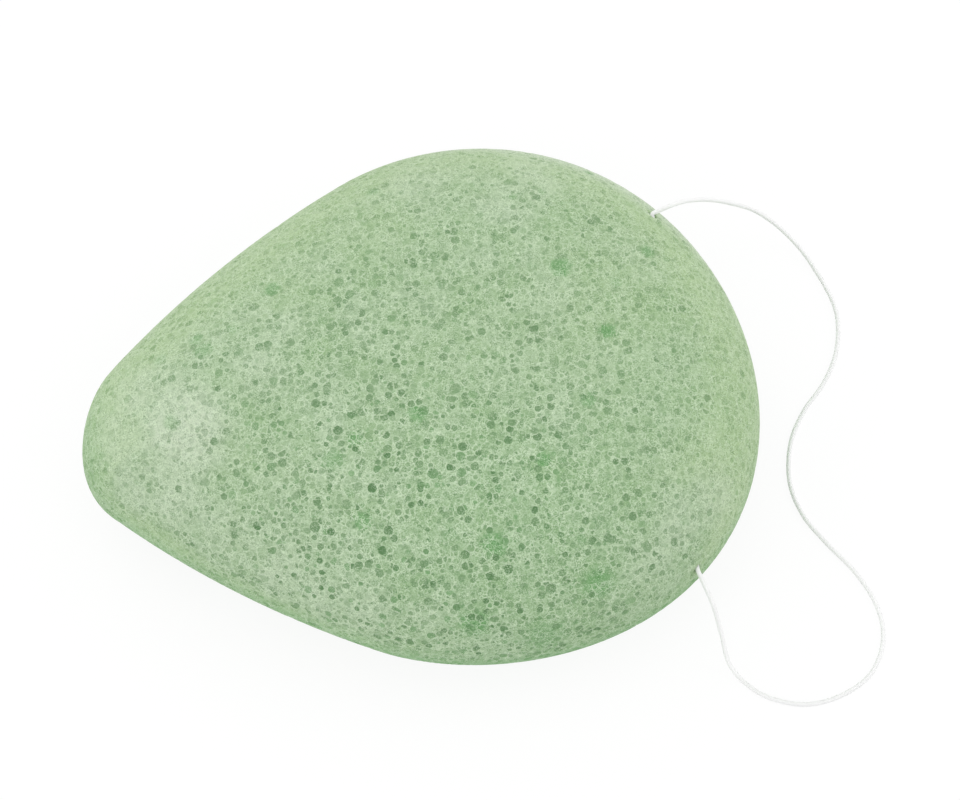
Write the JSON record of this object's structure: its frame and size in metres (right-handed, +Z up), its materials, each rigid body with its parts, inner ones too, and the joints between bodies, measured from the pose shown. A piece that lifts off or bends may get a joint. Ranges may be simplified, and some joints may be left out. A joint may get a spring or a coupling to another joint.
{
  "type": "konjac sponge",
  "caption": "Drop-shaped facial sponge of soft green open-pored konjac foam, with a thin cotton hanging string looped through its wide end.",
  "frame": {"origin": "on the table, under the middle of the sponge's bounding box", "axes": "+Z up, away from the flat that the sponge stands on; +X from the tip to the wide end with the string; +Y to the side of the upper hole"},
  "size_m": [0.1042, 0.0809, 0.027],
  "materials": {
    "konjac_foam": "moist matt foam with fine open pores",
    "cotton_string": "matt twisted cotton"
  },
  "bodies": {
    "sponge": {"sponge_body": "konjac_foam", "string_upper_run": "cotton_string", "string_lower_run": "cotton_string", "string_knot": "cotton_string"},
    "hanging_loop": {"string_loop": "cotton_string"}
  },
  "joints": [
    {"name": "loop_swing", "type": "hinge", "parent": "sponge", "child": "hanging_loop", "pos_m": [0.03386, 0.02055, 0.01897], "axis": [-0.0203, -0.9906, -0.135], "range_deg": [0, 120]}
  ]
}
